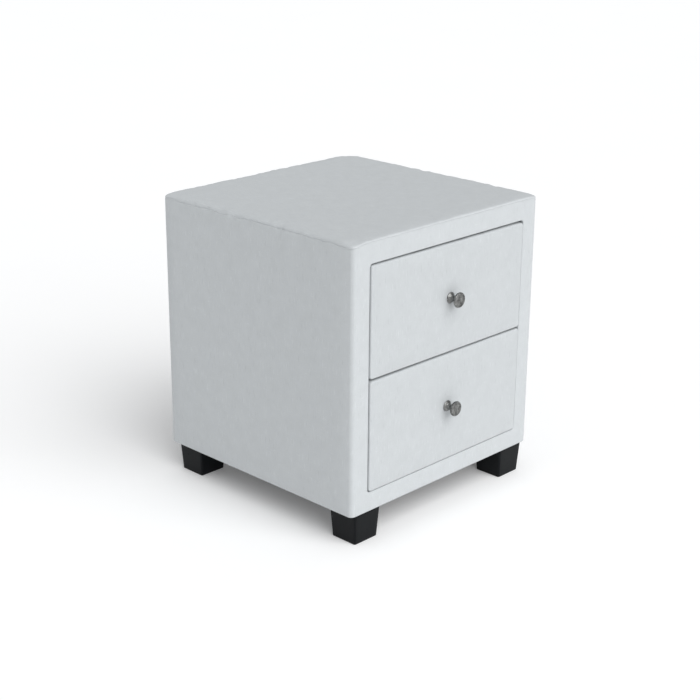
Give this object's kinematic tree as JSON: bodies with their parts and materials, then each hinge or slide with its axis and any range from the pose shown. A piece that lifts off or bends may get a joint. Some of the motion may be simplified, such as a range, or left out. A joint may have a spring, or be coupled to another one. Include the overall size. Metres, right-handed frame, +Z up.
{
  "type": "nightstand with drawers",
  "caption": "Square fabric-covered nightstand: padded cabinet on short tapered black feet, inset padded drawers on roller runners, spool-shaped metal knobs.",
  "frame": {"origin": "on the floor, at the centre of the bottom of the whole nightstand's box, knobs included", "axes": "+Z up, -Y the way the drawers pull out, +X to the right when one faces the nightstand"},
  "size_m": [0.4, 0.419, 0.45],
  "materials": {
    "fabric": "pale grey-white linen-look weave",
    "foam": "thin open-cell foam sheet",
    "board": "raw fibreboard",
    "box_board": "foil-faced board",
    "black_cloth": "black non-woven cloth",
    "foot": "satin black moulding",
    "runner": "white epoxy-coated sheet steel",
    "roller": "white nylon",
    "knob": "satin nickel-grey plated casting",
    "screw": "zinc-plated steel"
  },
  "bodies": {
    "cabinet": {"top_panel": "board", "left_side_panel": "board", "right_side_panel": "board", "base_panel": "board", "back_panel": "board", "left_stile": "board", "right_stile": "board", "top_rail": "board", "bottom_rail": "board", "left_foam": "foam", "right_foam": "foam", "top_foam": "foam", "top_cover": "fabric", "body_cover": "fabric", "back_cloth": "black_cloth", "base_cloth": "black_cloth", "front_left_foot": "foot", "front_right_foot": "foot", "back_left_foot": "foot", "back_right_foot": "foot", "upper_left_batten": "board", "upper_left_cabinet_runner": "runner", "upper_right_batten": "board", "upper_right_cabinet_runner": "runner", "lower_left_batten": "board", "lower_left_cabinet_runner": "runner", "lower_right_batten": "board", "lower_right_cabinet_runner": "runner"},
    "upper_drawer": {"upper_left_side": "box_board", "upper_left_drawer_runner": "runner", "upper_right_side": "box_board", "upper_right_drawer_runner": "runner", "upper_front_board": "board", "upper_front_foam": "foam", "upper_front_cover": "fabric", "upper_box_front": "box_board", "upper_box_back": "box_board", "upper_box_floor": "box_board", "upper_knob": "knob", "upper_knob_screw": "screw"},
    "lower_drawer": {"lower_left_side": "box_board", "lower_left_drawer_runner": "runner", "lower_right_side": "box_board", "lower_right_drawer_runner": "runner", "lower_front_board": "board", "lower_front_foam": "foam", "lower_front_cover": "fabric", "lower_box_front": "box_board", "lower_box_back": "box_board", "lower_box_floor": "box_board", "lower_knob": "knob", "lower_knob_screw": "screw"},
    "upper_left_cabinet_roller": {"upper_left_cabinet_roller": "roller"},
    "upper_left_drawer_roller": {"upper_left_drawer_roller": "roller"},
    "upper_right_cabinet_roller": {"upper_right_cabinet_roller": "roller"},
    "upper_right_drawer_roller": {"upper_right_drawer_roller": "roller"},
    "lower_left_cabinet_roller": {"lower_left_cabinet_roller": "roller"},
    "lower_left_drawer_roller": {"lower_left_drawer_roller": "roller"},
    "lower_right_cabinet_roller": {"lower_right_cabinet_roller": "roller"},
    "lower_right_drawer_roller": {"lower_right_drawer_roller": "roller"}
  },
  "joints": [
    {"name": "upper_drawer_slide", "type": "slide", "parent": "cabinet", "child": "upper_drawer", "axis": [0, -1, 0], "range_m": [0, 0.27]},
    {"name": "upper_left_cabinet_roller_spin", "type": "hinge", "parent": "cabinet", "child": "upper_left_cabinet_roller", "pos_m": [-0.1598, -0.1564, 0.2748], "axis": [1, 0, 0], "continuous": true},
    {"name": "upper_left_drawer_roller_spin", "type": "hinge", "parent": "upper_drawer", "child": "upper_left_drawer_roller", "pos_m": [-0.1591, 0.1561, 0.2748], "axis": [1, 0, 0], "continuous": true},
    {"name": "upper_right_cabinet_roller_spin", "type": "hinge", "parent": "cabinet", "child": "upper_right_cabinet_roller", "pos_m": [0.1598, -0.1564, 0.2748], "axis": [1, 0, 0], "continuous": true},
    {"name": "upper_right_drawer_roller_spin", "type": "hinge", "parent": "upper_drawer", "child": "upper_right_drawer_roller", "pos_m": [0.1591, 0.1561, 0.2748], "axis": [1, 0, 0], "continuous": true},
    {"name": "lower_drawer_slide", "type": "slide", "parent": "cabinet", "child": "lower_drawer", "axis": [0, -1, 0], "range_m": [0, 0.27]},
    {"name": "lower_left_cabinet_roller_spin", "type": "hinge", "parent": "cabinet", "child": "lower_left_cabinet_roller", "pos_m": [-0.1598, -0.1564, 0.1038], "axis": [1, 0, 0], "continuous": true},
    {"name": "lower_left_drawer_roller_spin", "type": "hinge", "parent": "lower_drawer", "child": "lower_left_drawer_roller", "pos_m": [-0.1591, 0.1561, 0.1038], "axis": [1, 0, 0], "continuous": true},
    {"name": "lower_right_cabinet_roller_spin", "type": "hinge", "parent": "cabinet", "child": "lower_right_cabinet_roller", "pos_m": [0.1598, -0.1564, 0.1038], "axis": [1, 0, 0], "continuous": true},
    {"name": "lower_right_drawer_roller_spin", "type": "hinge", "parent": "lower_drawer", "child": "lower_right_drawer_roller", "pos_m": [0.1591, 0.1561, 0.1038], "axis": [1, 0, 0], "continuous": true}
  ],
  "couplings": [
    {"joint": "upper_left_cabinet_roller_spin", "follows": "upper_drawer_slide", "rad_per_m": 105.26},
    {"joint": "upper_left_drawer_roller_spin", "follows": "upper_drawer_slide", "rad_per_m": 105.26},
    {"joint": "upper_right_cabinet_roller_spin", "follows": "upper_drawer_slide", "rad_per_m": 105.26},
    {"joint": "upper_right_drawer_roller_spin", "follows": "upper_drawer_slide", "rad_per_m": 105.26},
    {"joint": "lower_left_cabinet_roller_spin", "follows": "lower_drawer_slide", "rad_per_m": 105.26},
    {"joint": "lower_left_drawer_roller_spin", "follows": "lower_drawer_slide", "rad_per_m": 105.26},
    {"joint": "lower_right_cabinet_roller_spin", "follows": "lower_drawer_slide", "rad_per_m": 105.26},
    {"joint": "lower_right_drawer_roller_spin", "follows": "lower_drawer_slide", "rad_per_m": 105.26}
  ]
}
